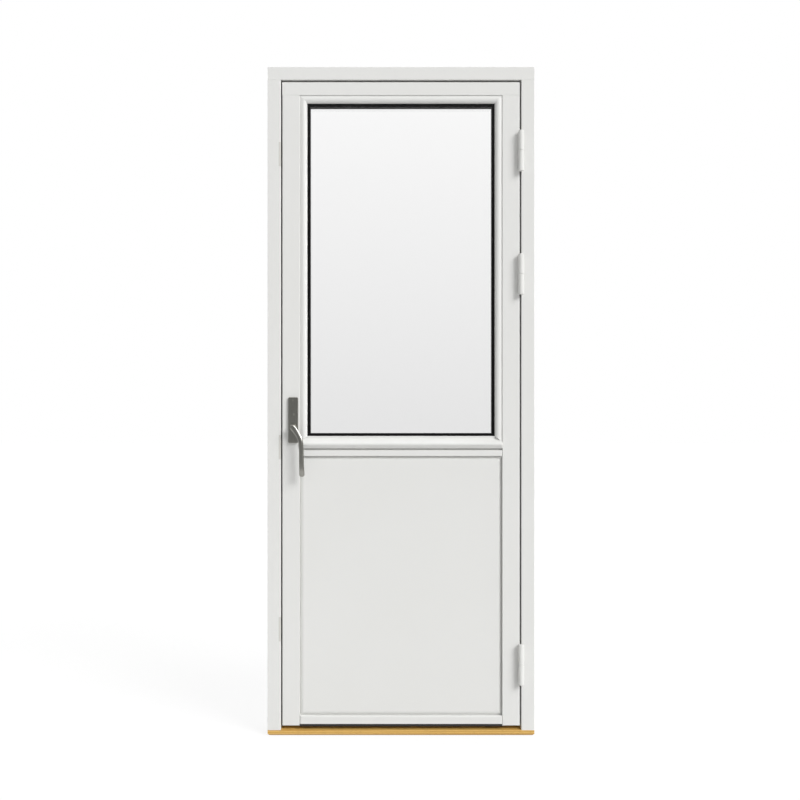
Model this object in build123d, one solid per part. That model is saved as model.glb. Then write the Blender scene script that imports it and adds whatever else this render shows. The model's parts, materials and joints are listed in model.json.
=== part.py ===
from build123d import *
from math import atan2, cos, degrees, hypot, pi, radians, sin, tan
import os

# A side-hung glass door with its wooden frame. Millimetres, +Z up, and the outside faces -Y.
# The origin is the middle of the threshold's underside.

# Frame
frame_width = 790.0
frame_height = 1980.0
frame_depth = 115.0
jamb_face = 39.0  # thickness of the jambs beside the leaf
head_face = 38.0  # thickness of the head above the leaf
stop_height = 13.0  # how far the stop behind the leaf stands out of jambs and head
arris_radius = 3.0  # rounded edges of the painted wood
edge_ease = 1.0  # slightly eased edges at the joints
stop_ease = 1.5
sill_nose = 16.0  # height of the threshold's front edge, which the jambs stand on
sill_slope_rise = 6.0  # rise of the weathered slope under the leaf
sill_stop = 17.0  # height of the threshold's stop above the slope's top
sill_chamfer = 5.0
sill_ease = 2.0
sill_round = 4.0

# Leaf
side_gap = 4.0
top_gap = 6.0
bottom_gap = 13.5
leaf_setback = 2.0  # leaf's face behind the frame's face
stop_gap = 3.0  # room for the frame seal behind the leaf
stile_width = 51.5  # outer part of a stile, up to the rebate for glass and panel
top_rail_height = 39.0
mid_rail_low = 827.5  # underside of the mid rail's face
mid_rail_face = 17.5
drip_height = 6.0  # groove between the mid rail's face and the bottom bead
drip_depth = 10.0
glass_seat_rise = 6.0  # floor of the glass rebate above the ledge that carries the bottom bead
bottom_rail_low = 33.4
bottom_rail_face = 24.7
rail_radius = 4.0  # rounded upper front edge of the bottom rail
rail_end_round = 5.0  # front corners of mid rail and bottom rail at the stiles
rear_lip = 8.0  # thickness of the lip behind the glass and the panel
rear_lap = 17.5  # how far that lip reaches past the rebate
tenon_length = 18.0
tenon_thickness = 28.0
tenon_shoulder = 3.0
stile_tenon_inner = 10.0  # from the rebate to the tenon on top of a stile
stile_tenon_outer = 12.0  # from that tenon to the leaf's edge

# Sealed glass unit and its beads
pane_thickness = 4.0
cavity = 10.0
glass_clearance = 4.0  # round the unit, and the height of the setting blocks
middle_pane_inset = 3.0
spacer_width = 12.0
spacer_sight = 8.0  # how far the spacer shows past the beads
bead_width = 22.0
bead_depth = 12.5
bead_crest = 11.0  # from the stile to the bead's highest line
bead_quirk = 3.5  # how deep the bead starts beside the stile
bead_crest_depth = 0.5
bead_rise_bulge = 0.7
bead_fall_bulge = 2.1
bead_drop = 8.5  # how deep it ends beside the glass
tape_front = 2.5
tape_rear = 3.0
tape_width = 8.0
tape_margin = 2.0
bull_nose = 7.0  # how far the bottom bead stands out of the leaf's face
bull_lip = 7.0  # upright edge beside the glass
bull_high = 21.0  # top of the nose's face below the bead's top
bull_low = 26.0  # its lower edge
bull_top_radius = 5.0
bull_low_radius = 2.5
bull_hollow = 3.0  # hollow between the upright edge and the slope
bull_end_round = 4.0
bead_foot = 1.0
bead_mitre_drop = 18.0  # how far the side beads run down over the bottom bead
bottom_bead_height = 35.5
block_length = 80.0

# Lower panel
panel_recess = 7.0  # panel's field behind the leaf's face
border_width = 13.0  # rounded border that falls away to the groove
border_drop = 6.0
border_bulge = 1.6
skin_thickness = 9.0
core_thickness = 31.0
panel_tongue = 3.0  # how deep the panel sits in the grooves of stiles and rails
panel_clearance = 0.5

# Seals
seal_width = 7.0
seal_touch = 0.2
seal_overlap = 0.5
bottom_seal_depth = 9.0
bottom_seal_height = 6.5
bottom_seal_inset = 1.5
bottom_seal_back = 3.9
bottom_seal_flat = 4.0

# Hinges
lower_hinge_level = 212.0
middle_hinge_drop = 614.5  # below the top of the frame
upper_hinge_drop = 250.0
hinge_length = 120.0
knuckle_radius = 8.5
knuckle_gap = 0.3
hinge_side = 3.0  # axis beyond the leaf's edge
hinge_front = 9.0  # axis in front of the frame's face
pin_radius = 5.0
pin_play = 0.05
flap_thickness = 2.5
flap_depth = 30.0
pin_cap = 8.0  # solid end of each barrel half beyond the pin
knuckle_bevel = 1.4
web_inset = 1.0
hinge_screw_spread = 40.0
hinge_screw_inset = 18.0

# Lock
lower_bolt_level = 315.0
middle_bolt_level = 854.0
upper_bolt_drop = 258.0  # below the top of the frame
backset = 33.0  # from the leaf's edge to the spindle
spindle_level = 913.0
spindle_side = 8.0
spindle_hole_radius = 7.2
spindle_inset = 2.0
gear_module = 1.5
gear_teeth = 15
gear_width = 6.0
gear_hub = 8.0
tooth_play = 0.15
pressure_angle = 20.0
addendum = 0.85 * gear_module
dedendum = 1.2 * gear_module
bolt_throw = 9.0
bolt_height = 22.0
bolt_width = 10.0
bolt_pin = 2.0
bolt_nose = 8.6
bolt_tail = 2.0
slot_play = 0.1
bolt_play = 0.3
bar_thickness = 3.0
bar_width = 10.5
bar_tail = 25.0
bar_play = 0.4
cam_wall = 3.4  # metal left beside a slanting slot
cam_end = 7.0  # metal above and below it
groove_play = 0.5
groove_margin = 5.0
faceplate_width = 16.0
faceplate_thickness = 2.5
faceplate_overrun = 45.0
faceplate_screw_inset = 10.0
case_half_height = 30.0
case_wall = 2.0
case_inner = 12.0
case_play = 0.8

# Strike plates
strike_height = 72.0
strike_thickness = 2.0
strike_front = 6.0
strike_depth = 46.0
strike_screw_spread = 54.0
strike_screw_inset = 15.0
mortise_depth = 8.0

# Handles
plate_width = 28.8
plate_thickness = 7.0
plate_top = 1002.0
plate_bottom = 866.0
plate_corner = 4.0
plate_edge = 1.5
plate_screw_inset = 9.5
journal_radius = 8.0
boss_radius = 10.0
boss_length = 18.0
lever_thickness = 11.0
neck_width = 15.0
neck_side = 24.5  # crank of the lever towards the glass
neck_drop = 33.0
grip_width = 16.0
grip_length = 106.0
grip_lean = 1.5
lever_round = 3.0
turn_play = 0.05
face_play = 0.3
button_level = 950.0
button_radius = 4.0
button_proud = 2.5
button_round = 0.8
button_stem_length = 8.0
button_stem_radius = 2.4
stem_play = 0.5

# Screws
wood_screw_head = 3.6
wood_screw_head_height = 2.0
wood_screw_shank = 2.0
strike_screw_length = 22.0
hinge_screw_length = 20.0
faceplate_screw_head = 3.2
faceplate_screw_head_height = 1.8
faceplate_screw_shank = 1.8
faceplate_screw_length = 8.0
handle_screw_head = 4.5
handle_screw_head_height = 2.6
handle_screw_shank = 2.5
handle_screw_cover = 3.0  # metal left over its end
screw_play = 0.05

# Holes through the jambs for the fixings into the wall
fixing_radius = 5.0
fixing_lowest = 100.0
fixing_top_drop = 440.0  # highest one below the top of the frame
fixing_count = 4

past = 1.0  # how far a cut runs past the face it opens

# Worked out: levels
hinge_levels = [
    ("lower", lower_hinge_level),
    ("middle", frame_height - middle_hinge_drop),
    ("upper", frame_height - upper_hinge_drop),
]
lock_levels = [
    ("lower", lower_bolt_level),
    ("middle", middle_bolt_level),
    ("upper", frame_height - upper_bolt_drop),
]
fixing_step = (frame_height - fixing_top_drop - fixing_lowest) / (fixing_count - 1)

# Worked out: depths, with the outside at the low end
front = -frame_depth / 2
back = frame_depth / 2
leaf_front = front + leaf_setback
unit_depth = 3 * pane_thickness + 2 * cavity
leaf_thickness = bead_depth + tape_front + unit_depth + tape_rear + rear_lip
leaf_rear = leaf_front + leaf_thickness
stop_front = leaf_rear + stop_gap
lip_front = leaf_rear - rear_lip
unit_front = leaf_front + bead_depth + tape_front
unit_rear = unit_front + unit_depth
lock_plane = leaf_front + leaf_thickness / 2
tenon_front = lock_plane - tenon_thickness / 2
tenon_rear = lock_plane + tenon_thickness / 2

# Worked out: widths and heights
half_width = frame_width / 2
jamb_inner = half_width - jamb_face
stop_inner = jamb_inner - stop_height
head_low = frame_height - head_face
leaf_half = jamb_inner - side_gap
leaf_top = head_low - top_gap
leaf_low = sill_nose + bottom_gap
slope_top = sill_nose + sill_slope_rise
sill_top = slope_top + sill_stop
rebate = leaf_half - stile_width
lip_half = rebate - rear_lap
glass_top = leaf_top - top_rail_height
mid_face_top = mid_rail_low + mid_rail_face
bead_ledge = mid_face_top + drip_height
glass_seat = bead_ledge + glass_seat_rise
bead_low = bead_ledge + bottom_bead_height
panel_low = bottom_rail_low + bottom_rail_face
groove_front = leaf_front + panel_recess + border_drop
sight_half = rebate - bead_width
sight_top = glass_top - bead_width

# Worked out: hinge axis and lock lines
hinge_x = leaf_half + hinge_side
hinge_y = front - hinge_front
edge = -leaf_half
spindle_x = edge + backset
plate_inner = edge + faceplate_thickness
pitch_radius = gear_module * gear_teeth / 2
tip_radius = pitch_radius + addendum
root_radius = pitch_radius - dedendum
bar_travel = pitch_radius * pi / 2
rack_line = spindle_x - pitch_radius
bar_left = edge + bolt_nose + bar_play
bar_right = bar_left + bar_width
cam_x = bar_left + cam_wall + slot_play + bolt_pin + bolt_throw
cam_right = cam_x + bolt_pin + slot_play + cam_wall
groove_end = cam_right + groove_play
case_end = spindle_x + tip_radius + case_play
groove_half = bolt_width / 2 + bolt_play
case_half = case_inner / 2 + case_wall

# Each screw: head radius, head height, shank radius, length
strike_screw = (wood_screw_head, wood_screw_head_height, wood_screw_shank, strike_screw_length)
hinge_screw = (wood_screw_head, wood_screw_head_height, wood_screw_shank, hinge_screw_length)
faceplate_screw = (
    faceplate_screw_head, faceplate_screw_head_height, faceplate_screw_shank, faceplate_screw_length
)
handle_screw_length = leaf_thickness + 2 * plate_thickness - handle_screw_cover
handle_screw = (handle_screw_head, handle_screw_head_height, handle_screw_shank, handle_screw_length)


def block(x0, x1, y0, y1, z0, z1):
    """A box between two corners."""
    return Pos((x0 + x1) / 2, (y0 + y1) / 2, (z0 + z1) / 2) * Box(x1 - x0, y1 - y0, z1 - z0)


def rod(radius, start, end):
    """A round bar between two points."""
    start, end = Vector(*start), Vector(*end)
    axis = end - start
    return Part() + Solid.make_cylinder(radius, axis.length, Plane(origin=start, z_dir=axis))


def outline(points, radii):
    """A closed outline with a radius at each corner."""
    return make_face(FilletPolyline(*points, radius=radii, close=True))


def prism_z(points, radii, z0, z1):
    """An outline in X and Y, drawn out from z0 to z1."""
    return extrude(Plane.XY.offset(z0) * outline(points, radii), amount=z1 - z0)


def prism_x(points, radii, x0, x1):
    """An outline in Y and Z, drawn out from x0 to x1."""
    return extrude(Plane.YZ.offset(x0) * outline(points, radii), amount=x1 - x0)


def prism_y(points, radii, y0, y1):
    """An outline in X and Z, drawn out from y0 to y1."""
    return extrude(Plane.XZ.offset(-y1) * outline(points, radii), amount=y1 - y0)


def ring(half, low, high, width, y0, y1):
    """A rectangular ring in the plane of the leaf: its outer edge and the width of its bars."""
    outer = block(-half, half, y0, y1, low, high)
    return outer - block(-half + width, half - width, y0, y1, low + width, high - width)


def screw(point, direction, sizes, grow=0.0):
    """A countersunk screw: the middle of its head, and the way its shank points."""
    head_radius, head_height, shank_radius, length = sizes
    plane = Plane(origin=point, z_dir=direction)
    head = Solid.make_cone(head_radius + grow, shank_radius + grow, head_height, plane)
    shank = Solid.make_cylinder(shank_radius + grow, length, plane)
    return Part() + head + shank


def screws(places, sizes, grow=0.0):
    """All screws of one kind, as separate solids."""
    return [screw(point, direction, sizes, grow) for point, direction in places]


def cut(shape, tools):
    """Takes each of the tools away from the shape."""
    for tool in tools:
        shape = shape - tool
    return shape


# Where the screws go
def strike_screw_places():
    return [
        ((-jamb_inner, front + strike_screw_inset, level + side * strike_screw_spread / 2), (-1, 0, 0))
        for _, level in lock_levels
        for side in (-1, 1)
    ]


def hinge_screw_places(x, y, direction):
    return [
        ((x, y + hinge_screw_inset, level + k * hinge_screw_spread), direction)
        for _, level in hinge_levels
        for k in (-1, 0, 1)
    ]


frame_hinge_places = hinge_screw_places(jamb_inner, front, (1, 0, 0))
leaf_hinge_places = hinge_screw_places(leaf_half, leaf_front, (-1, 0, 0))
lock_middles = [
    (lock_levels[0][1] + lock_levels[1][1]) / 2,
    (lock_levels[1][1] + lock_levels[2][1]) / 2,
]
faceplate_levels = [
    lock_levels[0][1] - faceplate_overrun + faceplate_screw_inset,
    *lock_middles,
    lock_levels[2][1] + faceplate_overrun - faceplate_screw_inset,
]
faceplate_places = [((edge, lock_plane, level), (1, 0, 0)) for level in faceplate_levels]
handle_screw_levels = (plate_bottom + plate_screw_inset, plate_top - plate_screw_inset)
handle_places = [
    ((spindle_x, leaf_front - plate_thickness, level), (0, 1, 0)) for level in handle_screw_levels
]


# Frame
def strike_shape(level):
    """The angle of a strike plate, let flush into the jamb's corner."""
    low, high = level - strike_height / 2, level + strike_height / 2
    x, t = -jamb_inner, strike_thickness
    points = [
        (x, front),
        (x, front + strike_depth),
        (x - t, front + strike_depth),
        (x - t, front + t),
        (x - strike_front, front + t),
        (x - strike_front, front),
    ]
    return prism_z(points, [arris_radius, 0, 0, 0, 0, 0], low, high)


def bolt_slot(level, x0, x1):
    """The room of one bolt, from x0 to x1."""
    half = bolt_height / 2 + 2 * bolt_play
    side = bolt_width / 2 + 2 * bolt_play
    return block(x0, x1, lock_plane - side, lock_plane + side, level - half, level + half)


def jamb_shape(side):
    """A jamb with its stop: side -1 is the lock side, 1 the hinge side."""
    points = [
        (side * half_width, front),
        (side * jamb_inner, front),
        (side * jamb_inner, stop_front),
        (side * stop_inner, stop_front),
        (side * stop_inner, back),
        (side * half_width, back),
    ]
    radii = [edge_ease, arris_radius, 0, stop_ease, arris_radius, edge_ease]
    body = prism_z(points, radii, sill_nose, head_low)
    for k in range(fixing_count):
        z, y = fixing_lowest + k * fixing_step, lock_plane
        body = body - rod(
            fixing_radius, (side * (jamb_inner - past), y, z), (side * (half_width + past), y, z)
        )
    return body


def frame_jamb_lock_side():
    body = jamb_shape(-1)
    for _, level in lock_levels:
        low, high = level - strike_height / 2, level + strike_height / 2
        x = -jamb_inner
        body = body - block(x - strike_thickness, x + past, front - past, front + strike_depth, low, high)
        body = body - block(x - strike_front, x + past, front - past, front + strike_thickness, low, high)
        body = body - bolt_slot(level, x - strike_thickness - mortise_depth, x)
    return cut(body, screws(strike_screw_places(), strike_screw, screw_play))


def hinge_recess(x0, x1, y0):
    """The three shallow housings of the hinge flaps."""
    return [
        block(x0, x1, y0 - past, y0 + flap_depth, level - hinge_length / 2, level + hinge_length / 2)
        for _, level in hinge_levels
    ]


def frame_jamb_hinge_side():
    body = cut(jamb_shape(1), hinge_recess(jamb_inner - past, jamb_inner + flap_thickness, front))
    return cut(body, screws(frame_hinge_places, hinge_screw, screw_play))


def frame_head():
    points = [
        (front, head_low),
        (front, frame_height),
        (back, frame_height),
        (back, head_low),
    ]
    body = prism_x(points, [edge_ease] * 4, -half_width, half_width)
    stop = block(-stop_inner, stop_inner, stop_front, back, head_low - stop_height, head_low)
    return body + stop


def threshold():
    """The oak threshold: a board under the jambs, and between them a slope and a stop."""
    base = [(front, 0), (front, sill_nose), (back, sill_nose), (back, 0)]
    body = prism_x(base, [0, 0, 0, 0], -half_width, half_width)
    lower_front = body.edges().filter_by(Axis.X).sort_by(Axis.Z)[:2].sort_by(Axis.Y)[0]
    lower_ends = body.edges().filter_by(Axis.Y).sort_by(Axis.Z)[:2]
    body = chamfer([lower_front, *lower_ends], sill_chamfer)
    slope = [
        (front, sill_nose - past),
        (front, sill_nose),
        (stop_front, slope_top),
        (stop_front, sill_nose - past),
    ]
    body = body + prism_x(slope, [0, 0, 0, 0], -jamb_inner, jamb_inner)
    stop = [
        (stop_front, sill_nose - past),
        (stop_front, sill_top),
        (back, sill_top),
        (back, sill_nose - past),
    ]
    return body + prism_x(stop, [0, sill_ease, sill_round, 0], -stop_inner, stop_inner)


def frame_seal():
    """The soft ring on the stop, which the leaf's back shuts against."""
    y0 = leaf_rear + seal_touch
    inner = stop_inner + seal_overlap
    outer = inner + seal_width
    low, high = sill_top - seal_overlap - seal_width, head_low - stop_height + seal_overlap + seal_width
    return ring(outer, low, high, seal_width, y0, stop_front)


def strike_plate(level):
    x = -jamb_inner
    body = strike_shape(level) - bolt_slot(level, x - strike_thickness, x)
    return cut(body, screws(strike_screw_places(), strike_screw, screw_play))


# Hinges
def knuckle(z0, z1, pin0, pin1):
    """One barrel half with its bore, chamfered at its outer end."""
    body = rod(knuckle_radius, (hinge_x, hinge_y, z0), (hinge_x, hinge_y, z1))
    edges = body.edges().filter_by(GeomType.CIRCLE)
    body = chamfer(edges, knuckle_bevel)
    return body - rod(pin_radius + pin_play, (hinge_x, hinge_y, pin0), (hinge_x, hinge_y, pin1))


def hinge_leaf_half(level):
    """The upper barrel half and the flap in the leaf's edge."""
    top = level + hinge_length / 2
    barrel = knuckle(level + knuckle_gap, top, level - past, top - pin_cap)
    x0, x1 = leaf_half - flap_thickness, leaf_half
    flap = block(x0, x1, leaf_front, leaf_front + flap_depth, level - hinge_length / 2, top)
    web = block(x0, x1, hinge_y, leaf_front, level + knuckle_gap + web_inset, top - web_inset)
    web = web - rod(knuckle_radius - web_inset, (hinge_x, hinge_y, level), (hinge_x, hinge_y, top))
    body = barrel + (flap + web)
    return cut(body, screws(leaf_hinge_places, hinge_screw, screw_play))


def hinge_frame_half(level):
    """The lower barrel half and the flap in the jamb."""
    low = level - hinge_length / 2
    barrel = knuckle(low, level, low + pin_cap, level + past)
    x0, x1 = jamb_inner, jamb_inner + flap_thickness
    flap = block(x0, x1, front, front + flap_depth, low, level + hinge_length / 2)
    web = block(x0, x1, hinge_y, front, low + web_inset, level - web_inset)
    web = web - rod(knuckle_radius - web_inset, (hinge_x, hinge_y, low), (hinge_x, hinge_y, level))
    body = barrel + (flap + web)
    return cut(body, screws(frame_hinge_places, hinge_screw, screw_play))


def hinge_pins():
    half = hinge_length / 2 - pin_cap
    return [
        rod(pin_radius, (hinge_x, hinge_y, level - half), (hinge_x, hinge_y, level + half))
        for _, level in hinge_levels
    ]


# Leaf
def stile_shape(side):
    """A stile: its full section, and the lip behind the glass and the panel."""
    points = [
        (side * leaf_half, leaf_front),
        (side * rebate, leaf_front),
        (side * rebate, lip_front),
        (side * lip_half, lip_front),
        (side * lip_half, leaf_rear),
        (side * leaf_half, leaf_rear),
    ]
    body = prism_z(points, [arris_radius, edge_ease, 0, 0, arris_radius, stop_ease], leaf_low, glass_top)
    tenon = (side * (rebate + stile_tenon_inner), side * (leaf_half - stile_tenon_outer))
    body = body + block(min(tenon), max(tenon), tenon_front, tenon_rear, glass_top, glass_top + tenon_length)
    for low, high in rail_tenons():
        start, end = side * (rebate - past), side * (rebate + tenon_length)
        body = body - block(min(start, end), max(start, end), tenon_front, tenon_rear, low, high)
    return body - panel_room()


def panel_room():
    """The room of the panel with the grooves round it."""
    half = rebate + panel_tongue
    low, high = panel_low - panel_tongue, mid_rail_low + panel_tongue
    return block(-half, half, groove_front, lip_front, low, high)


def rail_tenons():
    """Lower and upper end of the tenons on the bottom rail and the mid rail."""
    return [
        (bottom_rail_low + tenon_shoulder, panel_low - tenon_shoulder),
        (mid_rail_low + tenon_shoulder, bead_ledge - tenon_shoulder),
    ]


def leaf_stile_hinge_side():
    body = cut(stile_shape(1), hinge_recess(leaf_half - flap_thickness, leaf_half + past, leaf_front))
    return cut(body, screws(leaf_hinge_places, hinge_screw, screw_play))


def leaf_stile_lock_side():
    """The stile that holds the lock: groove, pocket and the holes of the handle."""
    low, high = lock_levels[0][1] - faceplate_overrun, lock_levels[2][1] + faceplate_overrun
    half = faceplate_width / 2
    body = stile_shape(-1) - block(edge - past, plate_inner, lock_plane - half, lock_plane + half, low, high)
    groove_low = lock_levels[0][1] - bar_tail - bar_travel - groove_margin
    groove_high = lock_levels[2][1] + bar_tail + groove_margin
    body = body - block(
        plate_inner - past, groove_end, lock_plane - groove_half, lock_plane + groove_half, groove_low, groove_high
    )
    body = body - block(
        plate_inner - past,
        case_end + case_wall,
        lock_plane - case_half,
        lock_plane + case_half,
        spindle_level - case_half_height,
        spindle_level + case_half_height,
    )
    body = body - rod(
        spindle_hole_radius,
        (spindle_x, leaf_front - past, spindle_level),
        (spindle_x, leaf_rear + past, spindle_level),
    )
    body = body - rod(
        button_stem_radius + stem_play,
        (spindle_x, leaf_front - past, button_level),
        (spindle_x, leaf_front + button_stem_length + button_proud + stem_play, button_level),
    )
    body = cut(body, screws(handle_places, handle_screw, screw_play))
    return cut(body, screws(faceplate_places, faceplate_screw, screw_play))


def leaf_top_rail():
    points = [
        (leaf_front, glass_top),
        (leaf_front, leaf_top),
        (leaf_rear, leaf_top),
        (leaf_rear, glass_top),
    ]
    body = prism_x(points, [edge_ease, arris_radius, stop_ease, 0], -leaf_half, leaf_half)
    lip = block(-lip_half, lip_half, lip_front, leaf_rear, glass_top - rear_lap, glass_top)
    body = body + lip
    for side in (-1, 1):
        ends = (side * (rebate + stile_tenon_inner), side * (leaf_half - stile_tenon_outer))
        body = body - block(
            min(ends), max(ends), tenon_front, tenon_rear, glass_top - past, glass_top + tenon_length
        )
    return body


def rail_ends(body, low, high):
    """Rounds the front corners of a rail where it meets the stiles."""
    ends = [
        (-rebate, leaf_rear),
        (-rebate, leaf_front),
        (rebate, leaf_front),
        (rebate, leaf_rear),
    ]
    return body & prism_z(ends, [0, rail_end_round, rail_end_round, 0], low, high)


def rail_with_tenons(body, tenon):
    low, high = tenon
    body = body - panel_room()
    return body + block(-rebate - tenon_length, rebate + tenon_length, tenon_front, tenon_rear, low, high)


def leaf_mid_rail():
    """The mid rail: face, drip groove, ledge for the bottom bead, seat for the glass."""
    points = [
        (leaf_front, mid_rail_low),
        (leaf_front, mid_face_top),
        (leaf_front + drip_depth, mid_face_top),
        (leaf_front + drip_depth, bead_ledge),
        (leaf_front + bead_depth, bead_ledge),
        (leaf_front + bead_depth, glass_seat),
        (lip_front, glass_seat),
        (lip_front, mid_rail_low),
    ]
    body = prism_x(points, [edge_ease, edge_ease, 0, 0, 0, 0, 0, 0], -rebate, rebate)
    body = rail_ends(body, mid_rail_low, glass_seat)
    lip = block(
        -lip_half, lip_half, lip_front, leaf_rear, mid_rail_low - rear_lap, glass_seat + rear_lap
    )
    return rail_with_tenons(body + lip, rail_tenons()[1])


def leaf_bottom_rail():
    points = [
        (leaf_front, bottom_rail_low),
        (leaf_front, panel_low),
        (lip_front, panel_low),
        (lip_front, bottom_rail_low),
    ]
    body = prism_x(points, [edge_ease, rail_radius, 0, 0], -rebate, rebate)
    body = rail_ends(body, bottom_rail_low, panel_low)
    lip = block(-lip_half, lip_half, lip_front, leaf_rear, bottom_rail_low, panel_low + rear_lap)
    return rail_with_tenons(body + lip, rail_tenons()[0])


def panel_layer(y0, y1):
    """One layer of the lower panel, with its edges in the grooves."""
    reach = panel_tongue - panel_clearance
    half = rebate + reach
    return block(-half, half, y0, y1, panel_low - reach, mid_rail_low + reach)


# Beads. A profile is drawn with its own x from the wood's edge inwards and its y to the inside.
def bulged(start, end, bulge):
    """An arc that stands out of its chord towards the outside of the leaf."""
    chord = Vector(end[0] - start[0], end[1] - start[1])
    normal = Vector(chord.Y, -chord.X).normalized()
    middle = Vector(start[0] + end[0], start[1] + end[1]) / 2 + normal * bulge
    return ThreePointArc(start, middle, end)


def bead_profile():
    """The convex bead round the glass."""
    rise = bulged((0, bead_quirk), (bead_crest, bead_crest_depth), bead_rise_bulge)
    fall = bulged((bead_crest, bead_crest_depth), (bead_width, bead_drop), bead_fall_bulge)
    rest = Polyline((bead_width, bead_drop), (bead_width, bead_depth), (0, bead_depth), (0, bead_quirk))
    return make_face([rise, fall, rest])


def border_profile():
    """The rounded border of the panel's field, rising from the groove."""
    groove = panel_recess + border_drop
    crown = bulged((0, groove), (border_width, panel_recess), border_bulge)
    rest = Polyline((border_width, panel_recess), (border_width, groove), (0, groove))
    return make_face([crown, rest])


def frame_bar(profile, side, half, low, high, width, mitre_low, mitre_high):
    """One bar of a beaded frame, mitred where it meets its neighbours."""
    if side == "left":
        plane = Plane(origin=(-half, leaf_front, low), x_dir=(1, 0, 0), z_dir=(0, 0, 1))
        length = high - low
        face = [
            (-half, low),
            (-half + width, low + width * mitre_low),
            (-half + width, high - width * mitre_high),
            (-half, high),
        ]
    elif side == "right":
        plane = Plane(origin=(half, leaf_front, high), x_dir=(-1, 0, 0), z_dir=(0, 0, -1))
        length = high - low
        face = [
            (half, low),
            (half - width, low + width * mitre_low),
            (half - width, high - width * mitre_high),
            (half, high),
        ]
    elif side == "top":
        plane = Plane(origin=(-half, leaf_front, high), x_dir=(0, 0, -1), z_dir=(1, 0, 0))
        length = 2 * half
        face = [(-half, high), (half, high), (half - width, high - width), (-half + width, high - width)]
    else:
        plane = Plane(origin=(half, leaf_front, low), x_dir=(0, 0, 1), z_dir=(-1, 0, 0))
        length = 2 * half
        face = [(-half, low), (half, low), (half - width, low + width), (-half + width, low + width)]
    bar = extrude(plane * profile, amount=length)
    mitre = prism_y(face, [0, 0, 0, 0], leaf_front, lock_plane)
    return bar & mitre


def glazing_bead(side):
    low = bead_low - bead_mitre_drop
    return frame_bar(
        bead_profile(), side, rebate, low, glass_top, bead_width, bead_mitre_drop / bead_width, 1
    )


def panel_outer_skin():
    """The outer skin: its edges sit in the grooves, and its field stands forward of them."""
    y0 = leaf_front + panel_recess
    body = panel_layer(groove_front, y0 + skin_thickness)
    half = rebate - border_width
    body = body + block(-half, half, y0, groove_front, panel_low + border_width, mid_rail_low - border_width)
    for side in ("left", "right", "top", "bottom"):
        body = body + frame_bar(
            border_profile(), side, rebate, panel_low, mid_rail_low, border_width, 1, 1
        )
    return body


def glazing_bead_bottom():
    """The bead under the glass: an upright edge, a hollow slope and a nose that throws the water off."""
    y = leaf_front
    points = [
        (y + bead_depth, bead_ledge),
        (y + bead_depth, bead_low),
        (y + bead_drop, bead_low),
        (y + bead_drop, bead_low - bull_lip),
        (y - bull_nose, bead_low - bull_high),
        (y - bull_nose, bead_low - bull_low),
        (y + bead_foot, bead_ledge),
    ]
    radii = [0, 0, edge_ease, bull_hollow, bull_top_radius, bull_low_radius, edge_ease]
    body = prism_x(points, radii, -rebate, rebate)
    ends = [
        (-rebate, y + bead_depth),
        (-rebate, y - bull_nose),
        (rebate, y - bull_nose),
        (rebate, y + bead_depth),
    ]
    body = body & prism_z(ends, [0, bull_end_round, bull_end_round, 0], bead_ledge, bead_low)
    for side in (-1, 1):
        mitre = [
            (side * rebate, bead_low - bead_mitre_drop),
            (side * sight_half, bead_low),
            (side * rebate, bead_low),
        ]
        body = body - prism_y(mitre, [0, 0, 0], y - bull_nose - past, y + bead_depth + past)
    return body


# Sealed glass unit
glass_half = rebate - glass_clearance
glass_low = glass_seat + glass_clearance
glass_high = glass_top - glass_clearance
spacer_half = sight_half - spacer_sight + spacer_width
spacer_low = bead_low + spacer_sight - spacer_width
spacer_high = sight_top - spacer_sight + spacer_width


def pane(number):
    """Panes 0, 1 and 2 from the outside in. The middle one is a little smaller."""
    inset = middle_pane_inset if number == 1 else 0
    y0 = unit_front + number * (pane_thickness + cavity)
    half = glass_half - inset
    return block(-half, half, y0, y0 + pane_thickness, glass_low + inset, glass_high - inset)


def spacer(number):
    y0 = unit_front + pane_thickness + number * (pane_thickness + cavity)
    return ring(spacer_half, spacer_low, spacer_high, spacer_width, y0, y0 + cavity)


def glass_edge_seal():
    """The sealant round the unit, outside the spacers and round the middle pane."""
    y0, y1 = unit_front + pane_thickness, unit_rear - pane_thickness
    outer = block(-glass_half, glass_half, y0, y1, glass_low, glass_high)
    inner = block(-spacer_half, spacer_half, y0, y1, spacer_low, spacer_high)
    return outer - inner - pane(1)


def glazing_tape(y0, y1, half, low, high):
    return ring(half, low, high, tape_width, y0, y1)


def setting_blocks():
    y0, y1 = unit_front, unit_rear
    x = rebate / 2
    return [
        block(side * x - block_length / 2, side * x + block_length / 2, y0, y1, glass_seat, glass_low)
        for side in (-1, 1)
    ]


def bottom_seal():
    y0 = leaf_front + bottom_seal_inset
    y1 = y0 + bottom_seal_depth
    points = [
        (y0, bottom_rail_low),
        (y1, bottom_rail_low),
        (y1, bottom_rail_low - bottom_seal_back),
        (y0 + bottom_seal_flat, bottom_rail_low - bottom_seal_height),
        (y0, bottom_rail_low - bottom_seal_height),
    ]
    return prism_x(points, [0, 0, 0, 0, 0], -rebate, rebate)


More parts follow.
